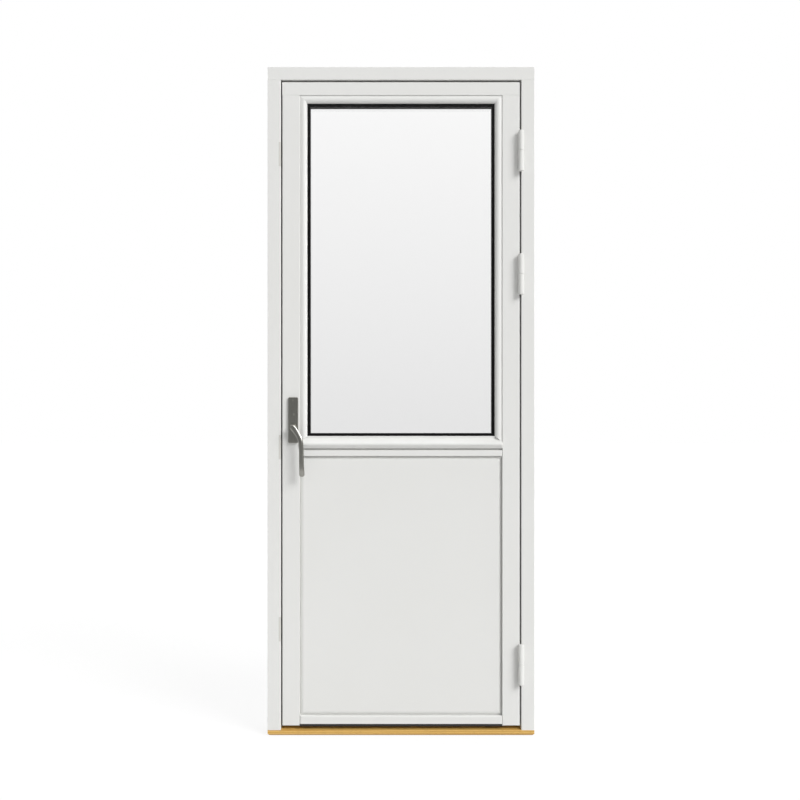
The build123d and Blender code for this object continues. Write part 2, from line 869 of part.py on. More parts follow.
# Lock
def rack_and_gear():
    """The gear on the spindle, with involute teeth."""
    pressure = radians(pressure_angle)
    base = pitch_radius * cos(pressure)
    half_angle = (pi / 2) / gear_teeth - tooth_play / pitch_radius + tan(pressure) - pressure
    steps = 5
    flank = []
    for k in range(steps):
        radius = base + (tip_radius - base) * k / (steps - 1)
        roll = (max(radius * radius / base / base - 1, 0)) ** 0.5
        flank.append((radius, half_angle - (roll - atan2(roll, 1))))
    tooth = [(root_radius - addendum / 2, flank[0][1])] + flank
    points = []
    for k in range(gear_teeth):
        middle = pi + k * 2 * pi / gear_teeth
        for radius, angle in tooth:
            points.append((radius * cos(middle - angle), radius * sin(middle - angle)))
        for radius, angle in reversed(tooth):
            points.append((radius * cos(middle + angle), radius * sin(middle + angle)))
    star = make_face(Polyline(*points, close=True))
    return star + Circle(root_radius)


def follower_gear():
    teeth = extrude(rack_and_gear(), amount=gear_width)
    hub = extrude(Circle(gear_hub), amount=case_half * 2)
    gear = Pos(0, 0, -gear_width / 2) * teeth + Pos(0, 0, -case_half) * hub
    gear = gear - Box(spindle_side, spindle_side, case_half * 4)
    return Plane(origin=(spindle_x, lock_plane, spindle_level), x_dir=(1, 0, 0), z_dir=(0, -1, 0)) * gear


def drive_bar():
    """The flat bar behind the faceplate: a rack at the gear and a slanting slot at each bolt."""
    y0, y1 = lock_plane - bar_thickness / 2, lock_plane + bar_thickness / 2
    low, high = lock_levels[0][1] - bar_tail, lock_levels[2][1] + bar_tail
    body = block(bar_left, bar_right, y0, y1, low, high)
    slot_length = hypot(bolt_throw, bar_travel)
    slot_angle = degrees(atan2(bar_travel, -bolt_throw))
    for _, level in lock_levels:
        body = body + block(bar_left, cam_right, y0, y1, level - cam_end, level + bar_travel + cam_end)
        slot = Rot(0, 0, slot_angle) * SlotCenterToCenter(slot_length, 2 * (bolt_pin + slot_play))
        plane = Plane(
            origin=(cam_x - bolt_throw / 2, y1 + past, level + bar_travel / 2),
            x_dir=(1, 0, 0),
            z_dir=(0, -1, 0),
        )
        body = body - extrude(plane * slot, amount=bar_thickness + 2 * past)
    pitch = pi * gear_module
    half_tooth = pitch / 4 - tooth_play
    slope = tan(radians(pressure_angle))
    root = rack_line - dedendum
    for k in range(-1, 2 + round(bar_travel / pitch)):
        middle = spindle_level + (k + 0.5) * pitch
        tooth = [
            (root, middle - half_tooth - slope * dedendum),
            (root, middle + half_tooth + slope * dedendum),
            (rack_line + addendum, middle + half_tooth - slope * addendum),
            (rack_line + addendum, middle - half_tooth + slope * addendum),
        ]
        body = body + prism_y(tooth, [0, 0, 0, 0], y0, y1)
    rack_low = spindle_level - pitch
    rack_high = spindle_level + (2 + round(bar_travel / pitch)) * pitch
    return body + block(bar_left, root, y0, y1, rack_low, rack_high)


def bolt(level):
    """A forked bolt: it straddles the bar, and its pin rides in the slanting slot."""
    end = cam_x + bolt_pin + bolt_tail
    half = bolt_width / 2
    body = block(
        edge, end, lock_plane - half, lock_plane + half, level - bolt_height / 2, level + bolt_height / 2
    )
    kerf = bar_thickness / 2 + bolt_play
    body = body - block(
        edge + bolt_nose, end + past, lock_plane - kerf, lock_plane + kerf, level - bolt_height, level + bolt_height
    )
    return body + rod(bolt_pin, (cam_x, lock_plane - half, level), (cam_x, lock_plane + half, level))


def lock_faceplate():
    half = faceplate_width / 2
    low, high = lock_levels[0][1] - faceplate_overrun, lock_levels[2][1] + faceplate_overrun
    body = block(edge, plate_inner, lock_plane - half, lock_plane + half, low, high)
    for _, level in lock_levels:
        side, rise = bolt_width / 2 + bolt_play, bolt_height / 2 + bolt_play
        body = body - block(
            edge - past, plate_inner + past, lock_plane - side, lock_plane + side, level - rise, level + rise
        )
    return cut(body, screws(faceplate_places, faceplate_screw, screw_play))


def hub_hole():
    reach = case_half + past
    return rod(
        gear_hub + turn_play,
        (spindle_x, lock_plane - reach, spindle_level),
        (spindle_x, lock_plane + reach, spindle_level),
    )


def lock_case():
    """The tray of the lock case, open to the faceplate and to the cover."""
    low, high = spindle_level - case_half_height, spindle_level + case_half_height
    inner = case_inner / 2
    body = block(plate_inner, case_end + case_wall, lock_plane - inner, lock_plane + case_half, low, high)
    body = body - block(
        plate_inner - past, case_end, lock_plane - inner - past, lock_plane + inner, low + case_wall, high - case_wall
    )
    passage = bar_thickness / 2 + bolt_play
    body = body - block(
        plate_inner - past, cam_right, lock_plane - passage, lock_plane + passage, low - past, high + past
    )
    return body - hub_hole()


def lock_cover():
    low, high = spindle_level - case_half_height, spindle_level + case_half_height
    body = block(
        plate_inner, case_end + case_wall, lock_plane - case_half, lock_plane - case_inner / 2, low, high
    )
    return body - hub_hole()


# Handles. Outside is side -1 and inside is side 1.
def handle_plate(side):
    face = leaf_front if side < 0 else leaf_rear
    half = plate_width / 2
    points = [
        (spindle_x - half, plate_bottom),
        (spindle_x - half, plate_top),
        (spindle_x + half, plate_top),
        (spindle_x + half, plate_bottom),
    ]
    near, far = sorted((face, face + side * plate_thickness))
    body = prism_y(points, [plate_corner] * 4, near, far)
    outer = body.faces().sort_by(Axis.Y)[0 if side < 0 else -1]
    body = fillet(outer.edges(), plate_edge)
    body = body - rod(
        journal_radius + turn_play,
        (spindle_x, face - side * past, spindle_level),
        (spindle_x, face + side * (plate_thickness + past), spindle_level),
    )
    if side < 0:
        body = body - rod(
            button_radius + turn_play,
            (spindle_x, face - side * past, button_level),
            (spindle_x, face + side * (plate_thickness + past), button_level),
        )
    return cut(body, screws(handle_places, handle_screw, screw_play))


def capsule(start, end, width):
    """A flat bar with round ends, in X and Z, from one middle to the other."""
    length = hypot(end[0] - start[0], end[1] - start[1])
    angle = degrees(atan2(end[1] - start[1], end[0] - start[0]))
    middle = ((start[0] + end[0]) / 2, (start[1] + end[1]) / 2)
    return Pos(*middle) * Rot(0, 0, angle) * SlotCenterToCenter(length, width)


def lever(side):
    """A cranked lever on its journal, square hole included."""
    face = (leaf_front if side < 0 else leaf_rear) + side * plate_thickness
    grip_top = (neck_side, -neck_drop)
    grip_end = (neck_side + grip_lean, -neck_drop - grip_length)
    shape = capsule((0, 0), grip_top, neck_width) + capsule(grip_top, grip_end, grip_width)
    start = face + side * boss_length
    plane = Plane(
        origin=(spindle_x, max(start, start + side * lever_thickness), spindle_level),
        x_dir=(1, 0, 0),
        z_dir=(0, -1, 0),
    )
    body = extrude(plane * shape, amount=lever_thickness)
    flat = body.faces().filter_by(Axis.Y)
    body = fillet([e for f in flat for e in f.edges()], lever_round)
    body = body + rod(
        boss_radius,
        (spindle_x, face + side * face_play, spindle_level),
        (spindle_x, start + side * lever_round, spindle_level),
    )
    body = body + rod(
        journal_radius,
        (spindle_x, face - side * (plate_thickness - face_play), spindle_level),
        (spindle_x, start, spindle_level),
    )
    return body - spindle_shape()


def spindle_shape():
    half = spindle_side / 2
    reach = plate_thickness + boss_length - spindle_inset
    y0, y1 = leaf_front - reach, leaf_rear + reach
    return block(spindle_x - half, spindle_x + half, y0, y1, spindle_level - half, spindle_level + half)


def safety_button():
    """A small push button with its stem in the stile."""
    y0 = leaf_front - plate_thickness - button_proud
    y1 = leaf_front - button_proud - face_play
    cap = rod(button_radius, (spindle_x, y0, button_level), (spindle_x, y1, button_level))
    rim = cap.edges().filter_by(GeomType.CIRCLE).sort_by(Axis.Y)[0]
    cap = fillet(rim, button_round)
    stem_end = leaf_front + button_stem_length
    stem = rod(
        button_stem_radius, (spindle_x, y1 - past, button_level), (spindle_x, stem_end, button_level)
    )
    return cap + stem


def write(name, shape):
    """Writes one node, from one solid or from a list of separate solids."""
    solids = shape if isinstance(shape, list) else [shape]
    solids = [solid for item in solids for solid in item.solids()]
    export_step(solids[0] if len(solids) == 1 else Compound(children=solids), f"parts/{name}.step")


def main():
    os.makedirs("parts", exist_ok=True)
    write("frame_head", frame_head())
    write("frame_jamb_lock_side", frame_jamb_lock_side())
    write("frame_jamb_hinge_side", frame_jamb_hinge_side())
    write("threshold", threshold())
    write("frame_seal", frame_seal())
    write("strike_screws", screws(strike_screw_places(), strike_screw))
    write("hinge_frame_screws", screws(frame_hinge_places, hinge_screw))
    write("hinge_leaf_screws", screws(leaf_hinge_places, hinge_screw))
    write("hinge_pins", hinge_pins())
    for name, level in hinge_levels:
        write(f"hinge_frame_half_{name}", hinge_frame_half(level))
        write(f"hinge_leaf_half_{name}", hinge_leaf_half(level))

    write("leaf_stile_lock_side", leaf_stile_lock_side())
    write("leaf_stile_hinge_side", leaf_stile_hinge_side())
    write("leaf_top_rail", leaf_top_rail())
    write("leaf_mid_rail", leaf_mid_rail())
    write("leaf_bottom_rail", leaf_bottom_rail())
    write("bottom_seal", bottom_seal())

    core = leaf_front + panel_recess + skin_thickness
    write("panel_outer_skin", panel_outer_skin())
    write("panel_core", panel_layer(core, core + core_thickness))
    write("panel_inner_skin", panel_layer(core + core_thickness, lip_front))

    for number, name in enumerate(("outer", "middle", "inner")):
        write(f"glass_pane_{name}", pane(number))
    for number, name in enumerate(("outer", "inner")):
        write(f"glass_spacer_{name}", spacer(number))
    write("glass_edge_seal", glass_edge_seal())
    for side in ("left", "right", "top"):
        write(f"glazing_bead_{side}", glazing_bead(side))
    write("glazing_bead_bottom", glazing_bead_bottom())
    margin = tape_margin + tape_width
    write(
        "glazing_tape_outer",
        glazing_tape(
            leaf_front + bead_depth, unit_front, sight_half + margin, bead_low - margin, sight_top + margin
        ),
    )
    lip_low, lip_high = glass_seat + rear_lap, glass_top - rear_lap
    write(
        "glazing_tape_inner",
        glazing_tape(unit_rear, lip_front, lip_half + margin, lip_low - margin, lip_high + margin),
    )
    write("setting_blocks", setting_blocks())

    write("lock_faceplate", lock_faceplate())
    write("lock_case", lock_case())
    write("lock_cover", lock_cover())
    write("faceplate_screws", screws(faceplate_places, faceplate_screw))
    write("follower_gear", follower_gear())
    write("drive_bar", drive_bar())
    for name, level in lock_levels:
        write(f"bolt_{name}", bolt(level))
        write(f"strike_plate_{name}", strike_plate(level))

    write("handle_plate_outside", handle_plate(-1))
    write("handle_plate_inside", handle_plate(1))
    write("handle_plate_screws", screws(handle_places, handle_screw))
    write("lever_outside", lever(-1))
    write("lever_inside", lever(1))
    write("handle_spindle", spindle_shape())
    write("safety_button", safety_button())


main()
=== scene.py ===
import json
import math
import bmesh
import bpy
from mathutils import Matrix, Vector


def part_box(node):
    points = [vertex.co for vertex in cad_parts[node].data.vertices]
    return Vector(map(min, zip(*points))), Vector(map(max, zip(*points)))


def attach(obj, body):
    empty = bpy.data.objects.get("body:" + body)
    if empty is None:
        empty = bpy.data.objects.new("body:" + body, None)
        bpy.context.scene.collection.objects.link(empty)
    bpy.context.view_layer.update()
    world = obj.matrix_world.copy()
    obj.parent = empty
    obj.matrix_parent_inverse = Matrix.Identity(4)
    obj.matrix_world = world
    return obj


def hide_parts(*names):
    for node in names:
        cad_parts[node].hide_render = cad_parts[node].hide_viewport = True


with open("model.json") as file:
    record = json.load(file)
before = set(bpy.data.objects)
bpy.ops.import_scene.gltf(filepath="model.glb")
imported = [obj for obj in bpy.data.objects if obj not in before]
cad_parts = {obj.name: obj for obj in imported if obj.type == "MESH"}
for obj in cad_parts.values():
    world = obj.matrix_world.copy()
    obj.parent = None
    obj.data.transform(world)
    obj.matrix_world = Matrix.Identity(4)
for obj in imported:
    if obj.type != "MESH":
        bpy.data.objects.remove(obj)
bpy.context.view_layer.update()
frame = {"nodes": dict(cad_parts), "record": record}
nodes = frame["nodes"]
scene = bpy.context.scene
print("frame loaded:", len(nodes), "nodes")


# Small helpers

def linearFromHex(text):
    # the two branches of the sRGB curve
    channels = []
    for k in (0, 2, 4):
        value = int(text[k:k + 2], 16) / 255
        channels.append(value / 12.92 if value <= 0.04045 else ((value + 0.055) / 1.055) ** 2.4)
    return (*channels, 1.0)


def addNode(tree, kind, settings=None, **links):
    # settings are the node's own properties, links its inputs by name with _ for a blank or by number
    node = tree.nodes.new(kind)
    for key, value in (settings or {}).items():
        setattr(node, key, value)
    for key, value in links.items():
        name = key.replace("_", " ")
        socket = node.inputs[int(key[1:])] if key[1:].isdigit() else node.inputs[name]
        if isinstance(value, bpy.types.NodeSocket):
            tree.links.new(value, socket)
        else:
            socket.default_value = value
    return node


def newMaterial(name):
    material = bpy.data.materials.new(name)
    material.use_nodes = True
    material.node_tree.nodes.clear()
    return material, material.node_tree


def perMetre(millimetres):
    return 1000.0 / millimetres


def metres(millimetres):
    return millimetres / 1000


def stretched(tree, size, along, length):
    # coordinates in which a pattern is size mm wide across and length mm long along the given axis
    coordinates = addNode(tree, "ShaderNodeTexCoord").outputs["Object"]
    scale = [perMetre(size)] * 3
    scale["xyz".index(along)] = perMetre(length)
    return addNode(tree, "ShaderNodeMapping", Vector=coordinates, Scale=scale).outputs["Vector"]


def finishMaterial(tree, shader):
    addNode(tree, "ShaderNodeOutputMaterial", Surface=shader)


# Materials

noiseSpan = (0.3, 0.7)      # most of a noise texture's values lie between these
waveRepeat = 0.314          # units from one ring of a wave texture to the next


# Satin acrylic paint sprayed on planed pine: an even warm white with a soft sheen. Close up the film has
# a fine orange peel, and the grain under it stands out as faint long ridges.
def sprayedPine(name, along):
    paint = {
        "colour": "e2e2e0",
        "thin": "dfdfdc",       # where the film is a little thinner
        "roughness": (0.36, 0.46),
        "cloud": 260.0,         # mm, the slow change in film thickness
        "grainWidth": 3.2,      # mm
        "grainLength": 170.0,   # mm
        "grainHeight": 0.02,    # mm
        "peelWidth": 2.0,       # mm
        "peelHeight": 0.008,    # mm
    }
    material, tree = newMaterial(name)
    here = addNode(tree, "ShaderNodeTexCoord").outputs["Object"]
    cloud = addNode(tree, "ShaderNodeTexNoise", Vector=here, Scale=perMetre(paint["cloud"]), Detail=2.0)
    grain = addNode(tree, "ShaderNodeTexNoise", Detail=4.0, Roughness=0.6, Distortion=0.3, Scale=1.0,
                    Vector=stretched(tree, paint["grainWidth"], along, paint["grainLength"]))
    peel = addNode(tree, "ShaderNodeTexNoise", Vector=here, Scale=perMetre(paint["peelWidth"]), Detail=1.0)
    colour = addNode(tree, "ShaderNodeMix", {"data_type": "RGBA"}, _0=cloud.outputs["Fac"],
                     _6=linearFromHex(paint["thin"]), _7=linearFromHex(paint["colour"]))
    low, high = paint["roughness"]
    sheen = addNode(tree, "ShaderNodeMapRange", Value=grain.outputs["Fac"], From_Min=noiseSpan[0],
                    From_Max=noiseSpan[1], To_Min=low, To_Max=high)
    ridges = addNode(tree, "ShaderNodeBump", Height=grain.outputs["Fac"],
                     Distance=metres(paint["grainHeight"]))
    film = addNode(tree, "ShaderNodeBump", Height=peel.outputs["Fac"], Distance=metres(paint["peelHeight"]),
                   Normal=ridges.outputs["Normal"])
    shader = addNode(tree, "ShaderNodeBsdfPrincipled", Base_Color=colour.outputs[2], IOR=1.49,
                     Roughness=sheen.outputs["Result"], Normal=film.outputs["Normal"])
    finishMaterial(tree, shader.outputs[0])
    return material


# Oiled oak, planed: warm honey bands of early and late wood, short dark pores along the grain and a dull
# sheen. The rings are drawn round a pith below the board, so the ends show arcs.
def oiledOak(name):
    oak = {
        "early": "e3bd70",
        "late": "c3923f",
        "pore": "7d5a26",
        "ringWidth": 3.6,       # mm
        "ringsAlong": 0.05,     # how fast the rings change along the board, as a share of across
        "pithBelow": 70.0,      # mm under the board
        "pithBehind": 20.0,     # mm
        "poreWidth": 0.7,       # mm, twice the real one so that it shows
        "poreLength": 14.0,     # mm
        "poreEdge": (0.6, 0.68),    # noise values between which a pore begins
        "poreShare": 0.55,      # of its colour over the wood's
        "poreDepth": 0.08,      # mm
        "roughness": (0.42, 0.6),
    }
    material, tree = newMaterial(name)
    here = addNode(tree, "ShaderNodeTexCoord").outputs["Object"]
    across = waveRepeat * perMetre(oak["ringWidth"])
    heart = addNode(tree, "ShaderNodeMapping", Vector=here,
                    Scale=(across * oak["ringsAlong"], across, across),
                    Location=(0.0, -metres(oak["pithBehind"]) * across, metres(oak["pithBelow"]) * across))
    rings = addNode(tree, "ShaderNodeTexWave", {"wave_type": "RINGS", "rings_direction": "X"},
                    Vector=heart.outputs["Vector"], Scale=1.0, Distortion=5.0, Detail=3.0, Detail_Scale=0.4)
    fleck = addNode(tree, "ShaderNodeTexNoise", Detail=3.0, Scale=1.0,
                    Vector=stretched(tree, oak["poreWidth"], "x", oak["poreLength"]))
    pores = addNode(tree, "ShaderNodeMapRange", Value=fleck.outputs["Fac"], From_Min=oak["poreEdge"][0],
                    From_Max=oak["poreEdge"][1])
    body = addNode(tree, "ShaderNodeMix", {"data_type": "RGBA"}, _0=rings.outputs["Fac"],
                   _6=linearFromHex(oak["early"]), _7=linearFromHex(oak["late"]))
    share = addNode(tree, "ShaderNodeMath", {"operation": "MULTIPLY"}, _0=pores.outputs["Result"],
                    _1=oak["poreShare"])
    colour = addNode(tree, "ShaderNodeMix", {"data_type": "RGBA"}, _0=share.outputs[0],
                     _6=body.outputs[2], _7=linearFromHex(oak["pore"]))
    low, high = oak["roughness"]
    sheen = addNode(tree, "ShaderNodeMapRange", Value=rings.outputs["Fac"], To_Min=high, To_Max=low)
    pit = addNode(tree, "ShaderNodeBump", {"invert": True}, Height=pores.outputs["Result"],
                  Distance=metres(oak["poreDepth"]))
    shader = addNode(tree, "ShaderNodeBsdfPrincipled", Base_Color=colour.outputs[2], IOR=1.47,
                     Roughness=sheen.outputs["Result"], Normal=pit.outputs["Normal"])
    finishMaterial(tree, shader.outputs[0])
    return material


# Clear float glass: nearly colourless, sharp reflections, a trace of green. Lamps shine through it.
def floatGlass(name):
    glass = {
        "tint": "ffffff",
        "shade": "f9fbfa",      # what is left of a lamp's light after each face
        "waveWidth": 220.0,     # mm, the slow ripple of the float line
        "waveHeight": 0.004,    # mm
    }
    material, tree = newMaterial(name)
    here = addNode(tree, "ShaderNodeTexCoord").outputs["Object"]
    ripple = addNode(tree, "ShaderNodeTexNoise", Vector=here, Scale=perMetre(glass["waveWidth"]), Detail=0.0)
    surface = addNode(tree, "ShaderNodeBump", Height=ripple.outputs["Fac"],
                      Distance=metres(glass["waveHeight"]))
    body = addNode(tree, "ShaderNodeBsdfPrincipled", Base_Color=linearFromHex(glass["tint"]), Roughness=0.0,
                   IOR=1.52, Transmission_Weight=1.0, Normal=surface.outputs["Normal"])
    lampLight = addNode(tree, "ShaderNodeBsdfTransparent", Color=linearFromHex(glass["shade"]))
    path = addNode(tree, "ShaderNodeLightPath")
    shader = addNode(tree, "ShaderNodeMixShader", _0=path.outputs["Is Shadow Ray"], _1=body.outputs[0],
                     _2=lampLight.outputs[0])
    finishMaterial(tree, shader.outputs[0])
    return material


# Warm-edge spacer, a matt black composite bar pricked with fine drying holes. Each hole is painted darker
# than the bar, painted shade in the hole, over a small dent.
def spacerBar(name):
    bar = {
        "colour": "0b0b0b",
        # painted shade: the colour inside each hole, darker than the bar, stands for the shade in it
        "hole": "020202",
        "holeStep": 4.0,        # mm between holes
        "holeEdge": (0.2, 0.26),    # of the step, from a hole's middle
        "roughness": 0.9,
        "gloss": 0.0,           # the composite is dead matt, so nothing mirrors at a flat angle
        "holeDepth": 0.3,       # mm
    }
    material, tree = newMaterial(name)
    here = addNode(tree, "ShaderNodeTexCoord").outputs["Object"]
    cells = addNode(tree, "ShaderNodeTexVoronoi", {"feature": "F1"}, Vector=here, Randomness=0.0,
                    Scale=perMetre(bar["holeStep"]))
    holes = addNode(tree, "ShaderNodeMapRange", Value=cells.outputs["Distance"], From_Min=bar["holeEdge"][0],
                    From_Max=bar["holeEdge"][1], To_Min=1.0, To_Max=0.0)
    # painted shade: where the holes are, the bar is drawn darker
    colour = addNode(tree, "ShaderNodeMix", {"data_type": "RGBA"}, _0=holes.outputs["Result"],
                     _6=linearFromHex(bar["colour"]), _7=linearFromHex(bar["hole"]))
    pit = addNode(tree, "ShaderNodeBump", {"invert": True}, Height=holes.outputs["Result"],
                  Distance=metres(bar["holeDepth"]))
    shader = addNode(tree, "ShaderNodeBsdfPrincipled", Base_Color=colour.outputs[2],
                     Roughness=bar["roughness"], Specular_IOR_Level=bar["gloss"],
                     Normal=pit.outputs["Normal"])
    finishMaterial(tree, shader.outputs[0])
    return material


# Extruded EPDM rubber: dull, with a finely pebbled skin and a faint cloudy bloom.
def extrudedRubber(name, colourHex, bloomHex):
    rubber = {
        "skin": 0.6,            # mm
        "skinHeight": 0.02,     # mm
        "cloud": 25.0,          # mm, bloom on the surface
        "roughness": (0.6, 0.8),
    }
    material, tree = newMaterial(name)
    here = addNode(tree, "ShaderNodeTexCoord").outputs["Object"]
    bloom = addNode(tree, "ShaderNodeTexNoise", Vector=here, Scale=perMetre(rubber["cloud"]), Detail=4.0)
    skin = addNode(tree, "ShaderNodeTexNoise", Vector=here, Scale=perMetre(rubber["skin"]), Detail=2.0)
    colour = addNode(tree, "ShaderNodeMix", {"data_type": "RGBA"}, _0=bloom.outputs["Fac"],
                     _6=linearFromHex(colourHex), _7=linearFromHex(bloomHex))
    low, high = rubber["roughness"]
    sheen = addNode(tree, "ShaderNodeMapRange", Value=bloom.outputs["Fac"], To_Min=low, To_Max=high)
    bump = addNode(tree, "ShaderNodeBump", Height=skin.outputs["Fac"], Distance=metres(rubber["skinHeight"]))
    shader = addNode(tree, "ShaderNodeBsdfPrincipled", Base_Color=colour.outputs[2], IOR=1.5,
                     Roughness=sheen.outputs["Result"], Normal=bump.outputs["Normal"])
    finishMaterial(tree, shader.outputs[0])
    return material


# Particle board, sanded: pressed chips in warm browns, seen only where a panel is cut.
def particleBoard(name):
    board = {
        "light": "cdb68c",
        "dark": "9c8258",
        "chip": 3.0,            # mm
        "chipHeight": 0.05,     # mm
        "roughness": 0.8,
    }
    material, tree = newMaterial(name)
    here = addNode(tree, "ShaderNodeTexCoord").outputs["Object"]
    chips = addNode(tree, "ShaderNodeTexVoronoi", Vector=here, Scale=perMetre(board["chip"]))
    tone = addNode(tree, "ShaderNodeSeparateColor", Color=chips.outputs["Color"])
    colour = addNode(tree, "ShaderNodeMix", {"data_type": "RGBA"}, _0=tone.outputs[0],
                     _6=linearFromHex(board["light"]), _7=linearFromHex(board["dark"]))
    bump = addNode(tree, "ShaderNodeBump", Height=chips.outputs["Distance"],
                   Distance=metres(board["chipHeight"]))
    shader = addNode(tree, "ShaderNodeBsdfPrincipled", Base_Color=colour.outputs[2],
                     Roughness=board["roughness"], Normal=bump.outputs["Normal"])
    finishMaterial(tree, shader.outputs[0])
    return material


# Moulded polypropylene setting block: black, faintly pebbled, each pebble's top painted paler than its
# hollow, a painted highlight.
def mouldedBlock(name):
    block = {
        "colour": "1c1c1c",
        # painted highlight: the pebble tops are drawn this much paler
        "pale": "262626",       # on the pebbles
        "pebble": 1.0,          # mm
        "pebbleHeight": 0.03,   # mm
        "roughness": 0.55,
    }
    material, tree = newMaterial(name)
    here = addNode(tree, "ShaderNodeTexCoord").outputs["Object"]
    pebble = addNode(tree, "ShaderNodeTexNoise", Vector=here, Scale=perMetre(block["pebble"]))
    # painted highlight: the colour follows the pebbles' height, paler on top
    colour = addNode(tree, "ShaderNodeMix", {"data_type": "RGBA"}, _0=pebble.outputs["Fac"],
                     _6=linearFromHex(block["colour"]), _7=linearFromHex(block["pale"]))
    bump = addNode(tree, "ShaderNodeBump", Height=pebble.outputs["Fac"],
                   Distance=metres(block["pebbleHeight"]))
    shader = addNode(tree, "ShaderNodeBsdfPrincipled", Base_Color=colour.outputs[2],
                     Roughness=block["roughness"], Normal=bump.outputs["Normal"])
    finishMaterial(tree, shader.outputs[0])
    return material


# Powder coat or baked lacquer on steel: glossier than the wood's paint, with a fine even texture.
def lacqueredSteel(name, colourHex, roughness):
    coat = {
        "grit": 0.9,            # mm, the coat's texture
        "gritHeight": 0.006,    # mm
        "cloud": 60.0,          # mm, the slow change in thickness
        "change": 0.05,         # of the colour where the coat is thin
        "sheenChange": 0.05,    # of the roughness, up and down
    }
    material, tree = newMaterial(name)
    here = addNode(tree, "ShaderNodeTexCoord").outputs["Object"]
    grit = addNode(tree, "ShaderNodeTexNoise", Vector=here, Scale=perMetre(coat["grit"]), Detail=2.0)
    cloud = addNode(tree, "ShaderNodeTexNoise", Vector=here, Scale=perMetre(coat["cloud"]), Detail=2.0)
    base = linearFromHex(colourHex)
    dimmer = tuple(c * (1 - coat["change"]) for c in base[:3]) + (1.0,)
    colour = addNode(tree, "ShaderNodeMix", {"data_type": "RGBA"}, _0=cloud.outputs["Fac"], _6=dimmer,
                     _7=base)
    sheen = addNode(tree, "ShaderNodeMapRange", Value=cloud.outputs["Fac"],
                    To_Min=roughness - coat["sheenChange"], To_Max=roughness + coat["sheenChange"])
    bump = addNode(tree, "ShaderNodeBump", Height=grit.outputs["Fac"], Distance=metres(coat["gritHeight"]))
    shader = addNode(tree, "ShaderNodeBsdfPrincipled", Base_Color=colour.outputs[2], IOR=1.5,
                     Roughness=sheen.outputs["Result"], Normal=bump.outputs["Normal"])
    finishMaterial(tree, shader.outputs[0])
    return material


# Zinc-plated steel, blue passivated: cool light grey metal with soft patches where the bath ran.
def zincPlate(name):
    zinc = {
        "light": "c3c6c8",
        "dark": "a5a8ab",
        "patch": 9.0,           # mm
        "grit": 0.5,            # mm
        "gritHeight": 0.008,    # mm
        "roughness": (0.28, 0.45),
    }
    material, tree = newMaterial(name)
    here = addNode(tree, "ShaderNodeTexCoord").outputs["Object"]
    patch = addNode(tree, "ShaderNodeTexNoise", Vector=here, Scale=perMetre(zinc["patch"]), Detail=5.0)
    grit = addNode(tree, "ShaderNodeTexNoise", Vector=here, Scale=perMetre(zinc["grit"]), Detail=2.0)
    colour = addNode(tree, "ShaderNodeMix", {"data_type": "RGBA"}, _0=patch.outputs["Fac"],
                     _6=linearFromHex(zinc["dark"]), _7=linearFromHex(zinc["light"]))
    low, high = zinc["roughness"]
    sheen = addNode(tree, "ShaderNodeMapRange", Value=patch.outputs["Fac"], To_Min=low, To_Max=high)
    bump = addNode(tree, "ShaderNodeBump", Height=grit.outputs["Fac"], Distance=metres(zinc["gritHeight"]))
    shader = addNode(tree, "ShaderNodeBsdfPrincipled", Base_Color=colour.outputs[2], Metallic=1.0,
                     Roughness=sheen.outputs["Result"], Normal=bump.outputs["Normal"])
    finishMaterial(tree, shader.outputs[0])
    return material


# Satin nickel, plated on a casting and brushed lengthwise: a warm mid-grey metal whose fine upright
# scratches spread each reflection sideways.
def satinNickel(name):
    nickel = {
        "light": "a9a8a2",
        "dark": "8e8d87",
        "brushWidth": 0.35,     # mm, coarser than the real scratches so that they show
        "brushLength": 24.0,    # mm
        "brushHeight": 0.006,   # mm
        "roughness": (0.26, 0.36),
    }
    material, tree = newMaterial(name)
    lines = addNode(tree, "ShaderNodeTexNoise", Detail=3.0, Roughness=0.6, Scale=1.0,
                    Vector=stretched(tree, nickel["brushWidth"], "z", nickel["brushLength"]))
    colour = addNode(tree, "ShaderNodeMix", {"data_type": "RGBA"}, _0=lines.outputs["Fac"],
                     _6=linearFromHex(nickel["dark"]), _7=linearFromHex(nickel["light"]))
    low, high = nickel["roughness"]
    sheen = addNode(tree, "ShaderNodeMapRange", Value=lines.outputs["Fac"], From_Min=noiseSpan[0],
                    From_Max=noiseSpan[1], To_Min=low, To_Max=high)
    brush = addNode(tree, "ShaderNodeBump", Height=lines.outputs["Fac"],
                    Distance=metres(nickel["brushHeight"]))
    shader = addNode(tree, "ShaderNodeBsdfPrincipled", Base_Color=colour.outputs[2], Metallic=1.0,
                     Roughness=sheen.outputs["Result"], Normal=brush.outputs["Normal"])
    finishMaterial(tree, shader.outputs[0])
    return material


uprightPaint = sprayedPine("satinPaintedPineUpright", "z")
levelPaint = sprayedPine("satinPaintedPineLevel", "x")
finishes = {
    "oiled_oak": oiledOak("oiledOak"),
    "core_board": particleBoard("particleBoard"),
    "clear_glass": floatGlass("clearFloatGlass"),
    "black_spacer": spacerBar("matteSpacerBar"),
    "black_rubber": extrudedRubber("blackExtrudedRubber", "161616", "1f1f1f"),
    "grey_rubber": extrudedRubber("greyExtrudedRubber", "5b5b59", "6a6a67"),
    "block_plastic": mouldedBlock("mouldedPolypropylene"),
    "white_strike": lacqueredSteel("lacqueredStrikeSteel", "cfcfc9", 0.4),
    "white_lacquered_steel": lacqueredSteel("whiteLacqueredSteel", "e2e2df", 0.3),
    "zinc_plated_steel": zincPlate("zincPlatedSteel"),
    "satin_nickel": satinNickel("brushedSatinNickel"),
}
levelWood = ("frame_head", "leaf_top_rail", "leaf_mid_rail", "leaf_bottom_rail", "glazing_bead_top",
             "glazing_bead_bottom")
slotOf = {part["node"]: part["material_slot"] for part in frame["record"]["subparts"]}
